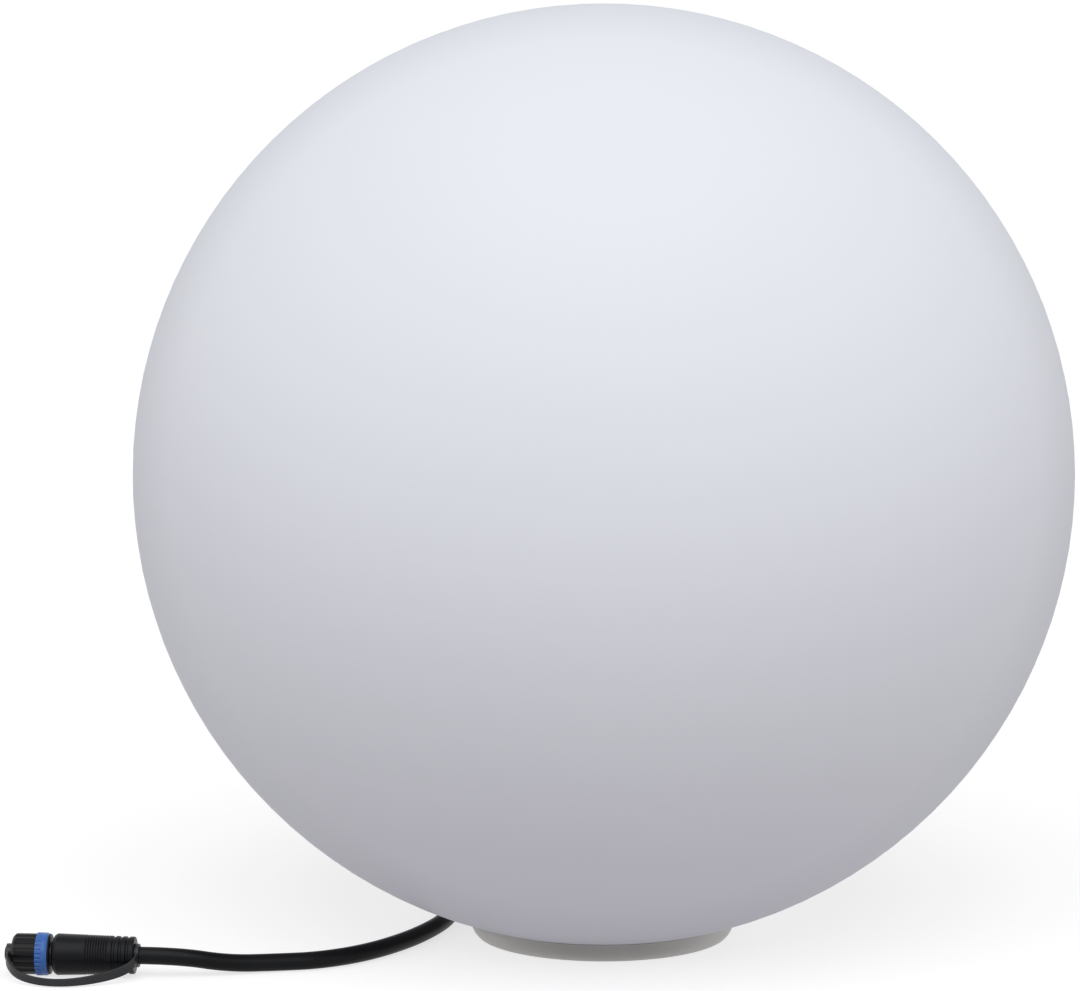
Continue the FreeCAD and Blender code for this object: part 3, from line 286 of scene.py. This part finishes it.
def turned_metal(name, dark, light, rough, lines=2500.0, depth=0.2):
    """Metal with the fine lines that turning or spinning leaves."""
    material, tree, shader = blank_material(name)
    surface = group_in(tree, TURNED, Line_Scale=lines, Smear_Scale=35.0)
    colour = mixed(tree, surface.outputs["Smear"], dark, light)
    tree.links.new(colour, shader.inputs["Base Color"])
    shader.inputs["Metallic"].default_value = 1.0
    tree.links.new(spread(tree, surface.outputs["Height"], 0.2, 0.8, rough - 0.06, rough + 0.08),
                   shader.inputs["Roughness"])
    bumped(tree, shader, surface.outputs["Height"], depth)
    return material


# ---------------------------------------------------------------- this light's finishes

def opal_globe():
    """Opal plastic: milky, faintly cloudy, with a silky outer skin, and painted shade that darkens it towards
    its rim.
    """
    material, tree, shader = blank_material("opal_acrylic")
    surface = group_in(tree, MOULDED, Grain_Scale=900.0, Cloud_Scale=5.0, Contrast=1.0)
    colour = mixed(tree, surface.outputs["Cloud"], (0.852, 0.876, 0.932), (0.868, 0.89, 0.942))
    # painted shade: the colour darkens towards the globe's rim as the surface turns away from the eye
    tree.links.new(painted_facing_shading(tree, 0.62, 0.92, colour, (0.775, 0.8, 0.855)), shader.inputs["Base Color"])
    tree.links.new(spread(tree, surface.outputs["Cloud"], 0, 1, 0.5, 0.58), shader.inputs["Roughness"])
    shader.inputs["Specular IOR Level"].default_value = 0.12
    bumped(tree, shader, surface.outputs["Height"], 0.03)
    return material


def satin_ring():
    """Satin metal ring, turned, with a painted sheen that makes its sides paler where they turn away from the
    eye.
    """
    material, tree, shader = blank_material("spun_satin_aluminium")
    surface = group_in(tree, TURNED, Line_Scale=1400.0, Smear_Scale=35.0)
    colour = mixed(tree, surface.outputs["Smear"], (0.29, 0.28, 0.272), (0.34, 0.33, 0.32))
    # painted sheen: the ring's sides turn paler as they turn away from the eye
    tree.links.new(painted_facing_shading(tree, 0.08, 0.5, colour, (0.5, 0.49, 0.475)), shader.inputs["Base Color"])
    shader.inputs["Metallic"].default_value = 0.45
    tree.links.new(spread(tree, surface.outputs["Height"], 0.2, 0.8, 0.34, 0.48), shader.inputs["Roughness"])
    bumped(tree, shader, surface.outputs["Height"], 0.25)
    return material


def driver_board():
    """Green solder mask with faint tracks and pale pads."""
    material, tree, shader = blank_material("green_circuit_board")
    place = tree.nodes.new("ShaderNodeTexCoord").outputs["Object"]
    brick = node_in(tree, "ShaderNodeTexBrick")
    brick.inputs["Scale"].default_value = 180.0
    brick.inputs["Mortar Size"].default_value = 0.05
    tree.links.new(place, brick.inputs["Vector"])
    spots = node_in(tree, "ShaderNodeTexVoronoi")
    spots.inputs["Scale"].default_value = 260.0
    tree.links.new(place, spots.inputs["Vector"])
    pads = spread(tree, spots.outputs["Distance"], 0.16, 0.2, 1.0, 0.0)
    masked = mixed(tree, brick.outputs["Fac"], (0.018, 0.11, 0.045), (0.05, 0.2, 0.08))
    tree.links.new(mixed(tree, pads, masked, (0.55, 0.56, 0.54)), shader.inputs["Base Color"])
    shader.inputs["Roughness"].default_value = 0.35
    bumped(tree, shader, brick.outputs["Fac"], 0.3)
    return material


def ferrite_winding():
    """Varnished copper wire, wound round a dark core."""
    material, tree, shader = blank_material("varnished_winding")
    place = tree.nodes.new("ShaderNodeTexCoord").outputs["Object"]
    turns = node_in(tree, "ShaderNodeTexWave", bands_direction="Z")
    turns.inputs["Scale"].default_value = 700.0
    turns.inputs["Distortion"].default_value = 0.4
    tree.links.new(place, turns.inputs["Vector"])
    tree.links.new(mixed(tree, turns.outputs["Fac"], (0.05, 0.02, 0.012), (0.42, 0.17, 0.06)),
                   shader.inputs["Base Color"])
    shader.inputs["Roughness"].default_value = 0.3
    bumped(tree, shader, turns.outputs["Fac"], 0.6, 0.3 * MM)
    return material


def core_sleeve():
    """Lead cores: brown insulation on one side of the light, blue on the other."""
    material, tree, shader = blank_material("core_insulation")
    place = tree.nodes.new("ShaderNodeTexCoord").outputs["Object"]
    parts = tree.nodes.new("ShaderNodeSeparateXYZ")
    tree.links.new(place, parts.inputs["Vector"])
    side = spread(tree, parts.outputs["X"], -0.0001, 0.0001, 0.0, 1.0)
    tree.links.new(mixed(tree, side, (0.16, 0.05, 0.025), (0.03, 0.09, 0.35)), shader.inputs["Base Color"])
    surface = group_in(tree, MOULDED, Grain_Scale=2200.0, Cloud_Scale=40.0, Contrast=1.0)
    tree.links.new(spread(tree, surface.outputs["Cloud"], 0, 1, 0.28, 0.4), shader.inputs["Roughness"])
    bumped(tree, shader, surface.outputs["Height"], 0.1)
    return material


def chip_phosphor():
    """Yellow phosphor, a little uneven, under clear resin."""
    material, tree, shader = blank_material("led_phosphor")
    surface = group_in(tree, MOULDED, Grain_Scale=2600.0, Cloud_Scale=300.0, Contrast=1.0)
    tree.links.new(mixed(tree, surface.outputs["Cloud"], (0.82, 0.6, 0.08), (0.95, 0.78, 0.2)),
                   shader.inputs["Base Color"])
    shader.inputs["Roughness"].default_value = 0.22
    shader.inputs["Coat Weight"].default_value = 0.6
    bumped(tree, shader, surface.outputs["Height"], 0.15)
    return material


def frosted_dome():
    """Frosted diffuser: light passes, and the skin is finely etched."""
    material, tree, shader = blank_material("frosted_diffuser")
    surface = group_in(tree, MOULDED, Grain_Scale=1800.0, Cloud_Scale=25.0, Contrast=1.0)
    tree.links.new(mixed(tree, surface.outputs["Cloud"], (0.84, 0.86, 0.88), (0.92, 0.93, 0.94)),
                   shader.inputs["Base Color"])
    tree.links.new(spread(tree, surface.outputs["Cloud"], 0, 1, 0.42, 0.55), shader.inputs["Roughness"])
    shader.inputs["Transmission Weight"].default_value = 0.45
    shader.inputs["IOR"].default_value = 1.49
    bumped(tree, shader, surface.outputs["Height"], 0.2)
    return material


def lead_rubber():
    """Black rubber sheath with faint drawn lines and dust in its skin."""
    material, tree, shader = blank_material("lead_sheath_rubber")
    surface = group_in(tree, MOULDED, Grain_Scale=1100.0, Cloud_Scale=30.0, Contrast=1.0)
    base = mixed(tree, surface.outputs["Cloud"], (0.0035, 0.0038, 0.0044), (0.0075, 0.0081, 0.009))
    dust = spread(tree, surface.outputs["Specks"], 0, 1, 0.0, 0.08)
    tree.links.new(mixed(tree, dust, base, (0.1, 0.1, 0.098)), shader.inputs["Base Color"])
    tree.links.new(spread(tree, surface.outputs["Cloud"], 0, 1, 0.36, 0.46), shader.inputs["Roughness"])
    shader.inputs["Specular IOR Level"].default_value = 0.12
    bumped(tree, shader, surface.outputs["Height"], 0.25)
    return material


FINISHES = {
    "opal_globe": opal_globe,
    "satin_ring": satin_ring,
    "housing_plastic": lambda: plastic("housing_black", (0.018, 0.018, 0.02), (0.03, 0.03, 0.033), 0.5),
    "seal_rubber": lambda: plastic("seal_rubber_black", (0.012, 0.012, 0.012), (0.022, 0.022, 0.023), 0.62),
    "screw_steel": lambda: turned_metal("stainless_screws", (0.5, 0.5, 0.5), (0.62, 0.61, 0.6), 0.28),
    "insert_brass": lambda: turned_metal("turned_brass", (0.6, 0.44, 0.18), (0.72, 0.55, 0.25), 0.3),
    "vent_plastic": lambda: plastic("vent_grey", (0.1, 0.1, 0.11), (0.14, 0.14, 0.15), 0.55),
    "cable_rubber": lead_rubber,
    "core_sleeve": core_sleeve,
    "driver_board": driver_board,
    "ferrite": ferrite_winding,
    "capacitor_can": lambda: plastic("capacitor_sleeve", (0.03, 0.035, 0.06), (0.05, 0.055, 0.085), 0.3),
    "sink_aluminium": lambda: turned_metal("milled_aluminium", (0.66, 0.66, 0.67), (0.76, 0.76, 0.77), 0.34),
    "white_board": lambda: plastic("white_solder_mask", (0.8, 0.8, 0.79), (0.87, 0.87, 0.86), 0.38),
    "chip_phosphor": chip_phosphor,
    "frosted_dome": frosted_dome,
    "dome_ring_plastic": lambda: plastic("clamp_ring_white", (0.7, 0.7, 0.7), (0.77, 0.77, 0.76), 0.48),
    "connector_plastic": lambda: plastic("connector_black", (0.0025, 0.0028, 0.0036), (0.006, 0.0064, 0.0078),
                                         0.36, grain=1300.0, depth=0.3, cloud=60.0, gloss=0.12),
    "nose_plastic": lambda: plastic("nose_black", (0.012, 0.012, 0.013), (0.02, 0.02, 0.022), 0.3),
    "blue_plastic": lambda: plastic("coupling_blue", (0.042, 0.13, 0.40), (0.055, 0.155, 0.47), 0.26,
                                    grain=1300.0, depth=0.15, cloud=60.0, gloss=0.22),
    "cap_plastic": lambda: plastic("cap_black", (0.0025, 0.0027, 0.0034), (0.0055, 0.0058, 0.007), 0.32,
                                   grain=1300.0, depth=0.2, cloud=60.0, gloss=0.14),
    "strap_rubber": lambda: plastic("strap_rubber_black", (0.013, 0.0138, 0.0155), (0.021, 0.022, 0.0245),
                                    0.38, grain=1200.0, depth=0.25, cloud=60.0, gloss=0.32),
}
FINISH = {slot: make() for slot, make in FINISHES.items()}
NODE_SLOT = {}
for subpart in frame["record"]["subparts"]:
    NODE_SLOT[subpart["node"]] = subpart["material_slot"]


def dress_nodes():
    """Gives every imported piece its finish."""
    for name, obj in nodes.items():
        slot = NODE_SLOT[name]
        obj.data.materials.clear()
        obj.data.materials.append(FINISH[slot])


# ---------------------------------------------------------------- pieces

def lead():
    """The rubber lead: one smooth line from the gland, round behind the foot, to the connector."""
    line = bpy.data.curves.new("lead_line", "CURVE")
    line.dimensions = "3D"
    line.resolution_u = LEAD_SMOOTHNESS
    line.bevel_depth = LEAD_RADIUS
    line.bevel_resolution = LEAD_ROUNDNESS
    line.use_fill_caps = True
    spline = line.splines.new("NURBS")
    spline.points.add(len(LEAD_ROUTE_MM) - 1)
    for point, place in zip(spline.points, LEAD_ROUTE_MM):
        point.co = (*(Vector(place) * MM), 1)
    spline.order_u = 3
    spline.use_endpoint_u = True
    sheath = bpy.data.objects.new("lead_sheath", line)
    bpy.context.collection.objects.link(sheath)
    sheath.data.materials.append(FINISH["cable_rubber"])
    return sheath


def centreline(sheath):
    """Points of the lead's own line, read from its spline."""
    bare = sheath.copy()
    bare.data = sheath.data.copy()
    bare.data.bevel_depth = 0
    bpy.context.collection.objects.link(bare)
    bpy.context.view_layer.update()
    mesh = bpy.data.meshes.new_from_object(bare)
    points = [v.co.copy() for v in mesh.vertices]
    bpy.data.objects.remove(bare)
    bpy.data.meshes.remove(mesh)
    return points


def point_on(line, distance):
    """Point at a distance along a line of points."""
    walked = 0.0
    for before, after in zip(line, line[1:]):
        step = (after - before).length
        if walked + step >= distance:
            return before.lerp(after, (distance - walked) / step)
        walked += step
    return line[-1]


def relief(line):
    """Tapered, ribbed strain relief round the lead where it leaves the gland."""
    curve = bpy.data.curves.new("relief_line", "CURVE")
    curve.dimensions = "3D"
    curve.bevel_depth = 1.0
    curve.bevel_resolution = RELIEF_ROUNDNESS
    curve.use_fill_caps = True
    count = int(RELIEF_LENGTH / RELIEF_STEP)
    spline = curve.splines.new("POLY")
    spline.points.add(count)
    for index, point in enumerate(spline.points):
        share = index / count
        distance = share * RELIEF_LENGTH
        wave = 0.5 + 0.5 * math.cos(2 * math.pi * distance / RELIEF_RIB_PITCH)
        rib = RELIEF_RIB_DEPTH * min(1.0, max(0.0, wave * 3 - 1))
        point.co = (*point_on(line, distance), 1)
        point.radius = RELIEF_ROOT_RADIUS + (RELIEF_END_RADIUS - RELIEF_ROOT_RADIUS) * share - rib
    made = bpy.data.objects.new("gland_relief", curve)
    bpy.context.collection.objects.link(made)
    take_up(made)
    bpy.ops.object.convert(target="MESH")
    bpy.ops.object.shade_smooth_by_angle(angle=RELIEF_CREASE)
    made.data.materials.clear()
    made.data.materials.append(FINISH["cable_rubber"])
    return made


def heading_at(line, index):
    """Angle, seen from above, of the strap's run at one of its stations."""
    run = line[min(index + 1, len(line) - 1)] - line[max(index - 1, 0)]
    return math.atan2(run.y, run.x)


def strap():
    """Flat rubber band on edge, drawn from the cap's eye round to the ring on the connector's tail."""
    line = [connector_point(*place) for place in STRAP_LINE_MM]
    first = heading_at(line, 0)
    bpy.ops.mesh.primitive_plane_add(size=1, location=line[0], rotation=(math.pi / 2, 0, first + math.pi / 2))
    band = bpy.context.object
    band.name = "strap_band"
    band.scale = (STRAP_THICKNESS, STRAP_WIDTH, 1)
    take_up(band)
    bpy.ops.object.transform_apply(location=True, rotation=True, scale=True)
    bpy.ops.object.mode_set(mode="EDIT")
    bpy.ops.mesh.select_all(action="SELECT")
    facing = first
    for index in range(1, len(line)):
        bpy.ops.mesh.extrude_region_move(TRANSFORM_OT_translate={"value": line[index] - line[index - 1]})
        wanted = heading_at(line, index)
        turn = (wanted - facing + math.pi) % (2 * math.pi) - math.pi
        bpy.ops.transform.rotate(value=-turn, orient_axis="Z", center_override=line[index])
        change = STRAP_WIDTH_SHARE[index] / STRAP_WIDTH_SHARE[index - 1]
        bpy.ops.transform.resize(value=(1, 1, change), center_override=line[index])
        facing = wanted
    bpy.ops.mesh.select_all(action="SELECT")
    bpy.ops.mesh.remove_doubles(threshold=STRAP_MERGE)
    bpy.ops.mesh.normals_make_consistent(inside=False)
    bpy.ops.object.mode_set(mode="OBJECT")
    soften = band.modifiers.new("edge_round", "BEVEL")
    soften.width = STRAP_EDGE_ROUND
    soften.segments = STRAP_ROUND_STEPS
    soften.limit_method = "ANGLE"
    soften.angle_limit = STRAP_SHARP_EDGE
    smooth = band.modifiers.new("smooth_run", "SUBSURF")
    smooth.levels = STRAP_SMOOTH_LEVELS
    smooth.render_levels = STRAP_SMOOTH_LEVELS
    apply_all(band)
    bpy.ops.object.shade_smooth()
    band.data.materials.append(FINISH["strap_rubber"])
    return band


# ---------------------------------------------------------------- studio

FLOOR_SIZE = 120
FLOOR_UNDER_LIGHT = (0.225, 0.21, 0.222)
FLOOR_SEEN = (0.42, 0.42, 0.42)
FLOOR_GLOW_TINT = (0.985, 0.94, 0.975)
WHITE = (1.0, 1.0, 1.0)
FLOOR_LIFT = 0.7           # the floor's own white, for the eye and in gloss
FLOOR_GLOW = 0.285         # what it gives the underside of the globe
SKY_LEVEL = 0.22
SUNS = [                   # name, degrees round, degrees up, strength, width in degrees, colour
    ("front_light", 0.0, 55.0, 1.95, 60.0, (0.985, 0.992, 1.0)),
    ("left_light", -84.0, 0.0, 0.86, 80.0, WHITE),
    ("right_light", 84.0, 0.0, 0.93, 80.0, WHITE),
]


def floor():
    """Plain pale floor that shows white to the camera and keeps the light's shadow."""
    bpy.ops.mesh.primitive_plane_add(size=FLOOR_SIZE, location=(0, 0, 0))
    made = bpy.context.object
    made.name = "studio_floor"
    material, tree, shader = blank_material("pale_floor")
    path = tree.nodes.new("ShaderNodeLightPath")
    seen = node_in(tree, "ShaderNodeMath", operation="MAXIMUM")
    tree.links.new(path.outputs["Is Camera Ray"], seen.inputs[0])
    tree.links.new(path.outputs["Is Glossy Ray"], seen.inputs[1])
    tree.links.new(mixed(tree, seen.outputs[0], FLOOR_UNDER_LIGHT, FLOOR_SEEN), shader.inputs["Base Color"])
    shader.inputs["Roughness"].default_value = 1.0
    shader.inputs["Specular IOR Level"].default_value = 0.0
    tree.links.new(mixed(tree, seen.outputs[0], FLOOR_GLOW_TINT, WHITE), shader.inputs["Emission Color"])
    tree.links.new(spread(tree, seen.outputs[0], 0, 1, FLOOR_GLOW, FLOOR_LIFT),
                   shader.inputs["Emission Strength"])
    made.data.materials.append(material)


def sun(name, round_deg, rise_deg, strength, width_deg, colour):
    """Wide soft light from a direction: degrees round from the front, and degrees up."""
    lamp = bpy.data.lights.new(name, "SUN")
    lamp.energy = strength
    lamp.angle = math.radians(width_deg)
    lamp.color = colour
    made = bpy.data.objects.new(name, lamp)
    made.rotation_euler = (math.radians(90 - rise_deg), 0, math.radians(round_deg))
    bpy.context.collection.objects.link(made)


def sky():
    """Even light all round, seen as plain white by the camera, in gloss and through clear pieces."""
    world = bpy.data.worlds.new("studio_sky")
    bpy.context.scene.world = world
    world.use_nodes = True
    tree = world.node_tree
    ground = next(n for n in tree.nodes if n.type == "BACKGROUND")
    path = tree.nodes.new("ShaderNodeLightPath")
    seen = node_in(tree, "ShaderNodeMath", operation="MAXIMUM")
    tree.links.new(path.outputs["Is Camera Ray"], seen.inputs[0])
    tree.links.new(path.outputs["Is Glossy Ray"], seen.inputs[1])
    clear = node_in(tree, "ShaderNodeMath", operation="MAXIMUM")
    tree.links.new(seen.outputs[0], clear.inputs[0])
    tree.links.new(path.outputs["Is Transmission Ray"], clear.inputs[1])
    ground.inputs["Color"].default_value = (1, 1, 1, 1)
    tree.links.new(spread(tree, clear.outputs[0], 0, 1, SKY_LEVEL, 1.0), ground.inputs["Strength"])


def camera():
    """Camera where the photograph was taken from, as the outlines show."""
    rise = math.radians(VIEW_RISE_DEG)
    lens = bpy.data.cameras.new("photograph_view")
    lens.lens = LENS
    lens.sensor_width = SENSOR_WIDTH
    made = bpy.data.objects.new("photograph_view", lens)
    made.location = (0, -VIEW_DISTANCE * math.cos(rise), GLOBE_MIDDLE_HEIGHT + VIEW_DISTANCE * math.sin(rise))
    made.rotation_euler = (math.radians(90 - VIEW_TILT_DEG), 0, math.radians(VIEW_TURN_DEG))
    bpy.context.collection.objects.link(made)
    bpy.context.scene.camera = made


# ---------------------------------------------------------------- the scene

deselect()
camera()
dress_nodes()

sheath = lead()
deselect()
lead_points = centreline(sheath)
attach(sheath, "root")
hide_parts("supply_cable")

gland_relief = relief(lead_points)
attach(gland_relief, "root")

strap_band = strap()
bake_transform(strap_band)
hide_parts("cap_strap")

deselect()
floor()
sky()
for values in SUNS:
    sun(*values)

view = bpy.context.scene.view_settings
view.view_transform = "Standard"
